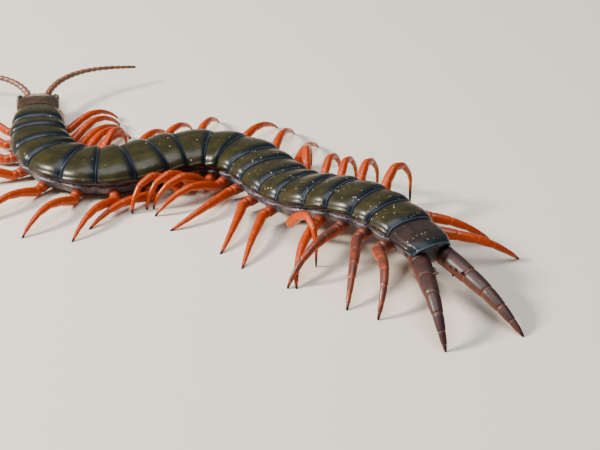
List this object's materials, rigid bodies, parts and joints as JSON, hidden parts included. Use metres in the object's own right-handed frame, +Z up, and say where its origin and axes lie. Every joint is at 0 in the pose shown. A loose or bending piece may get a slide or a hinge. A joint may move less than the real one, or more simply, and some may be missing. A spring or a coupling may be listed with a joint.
{
  "type": "centipede model",
  "caption": "Life-size still model of a giant banded centipede in a winding walk: flat plated trunk, jointed orange legs, thick trailing legs, antennae and poison claws.",
  "frame": {"origin": "centre of the bounding box, on the floor that the feet stand on", "axes": "+X towards the tail along the ground, +Y towards the head, +Z up; the picture looks along +Y"},
  "size_m": [0.1064, 0.098, 0.0108],
  "materials": {
    "back_plates": "glossy dark olive brown horn with blue-black rear bands",
    "head_plate": "glossy dark reddish brown horn",
    "walking_legs": "satin orange red horn with dark claw tips",
    "trailing_legs": "satin purple brown horn with orange undersides",
    "antennae": "fine beaded brown horn, downy towards the tip",
    "eyes": "glossy black"
  },
  "bodies": {
    "root": {"antenna_left": "antennae", "antenna_right": "antennae", "eyes_left": "eyes", "eyes_right": "eyes", "head": "head_plate", "leg_left_01": "walking_legs", "leg_left_02": "walking_legs", "leg_left_03": "walking_legs", "leg_left_04": "walking_legs", "leg_left_05": "walking_legs", "leg_left_06": "walking_legs", "leg_left_07": "walking_legs", "leg_left_08": "walking_legs", "leg_left_09": "walking_legs", "leg_left_10": "walking_legs", "leg_left_11": "walking_legs", "leg_left_12": "walking_legs", "leg_left_13": "walking_legs", "leg_left_14": "walking_legs", "leg_left_15": "walking_legs", "leg_left_16": "walking_legs", "leg_left_17": "walking_legs", "leg_left_18": "walking_legs", "leg_left_19": "walking_legs", "leg_left_20": "walking_legs", "leg_right_01": "walking_legs", "leg_right_02": "walking_legs", "leg_right_03": "walking_legs", "leg_right_04": "walking_legs", "leg_right_05": "walking_legs", "leg_right_06": "walking_legs", "leg_right_07": "walking_legs", "leg_right_08": "walking_legs", "leg_right_09": "walking_legs", "leg_right_10": "walking_legs", "leg_right_11": "walking_legs", "leg_right_12": "walking_legs", "leg_right_13": "walking_legs", "leg_right_14": "walking_legs", "leg_right_15": "walking_legs", "leg_right_16": "walking_legs", "leg_right_17": "walking_legs", "leg_right_18": "walking_legs", "leg_right_19": "walking_legs", "leg_right_20": "walking_legs", "poison_claw_left": "head_plate", "poison_claw_plate": "head_plate", "poison_claw_right": "head_plate", "trailing_leg_left": "trailing_legs", "trailing_leg_right": "trailing_legs", "trunk_segments_01_03": "back_plates", "trunk_segments_04_06": "back_plates", "trunk_segments_07_09": "back_plates", "trunk_segments_10_12": "back_plates", "trunk_segments_13_15": "back_plates", "trunk_segments_16_18": "back_plates", "trunk_segments_19_21": "back_plates"}
  },
  "joints": []
}
